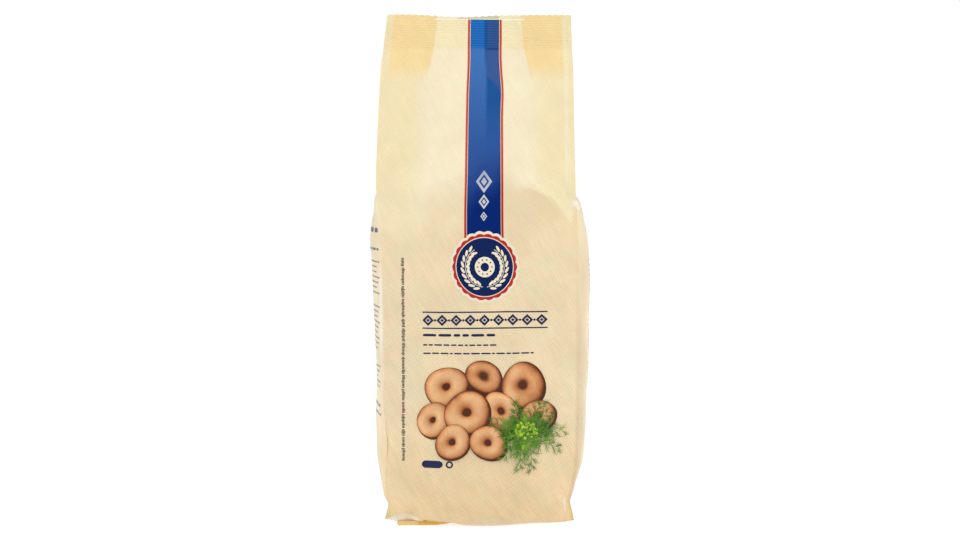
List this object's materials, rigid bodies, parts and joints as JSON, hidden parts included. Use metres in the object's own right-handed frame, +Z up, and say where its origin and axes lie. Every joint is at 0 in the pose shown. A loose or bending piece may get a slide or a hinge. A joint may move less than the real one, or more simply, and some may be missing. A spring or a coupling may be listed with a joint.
{
  "type": "side-gusset film bag of biscuits",
  "caption": "Filled, heat-sealed side-gusset film bag of ring biscuits, standing on its own base, with a crimped zigzag-cut top seal, a folded bottom seal and a back seam.",
  "frame": {"origin": "middle of the base, on the surface that the bag stands on", "axes": "+Z up to the top seal, the printed front faces -Y, +X to the right as seen from the front"},
  "size_m": [0.1239, 0.0739, 0.285],
  "materials": {
    "printed_film": "semi-gloss cream film with a fine woven print"
  },
  "bodies": {
    "root": {"biscuit_bag": "printed_film"}
  },
  "joints": []
}
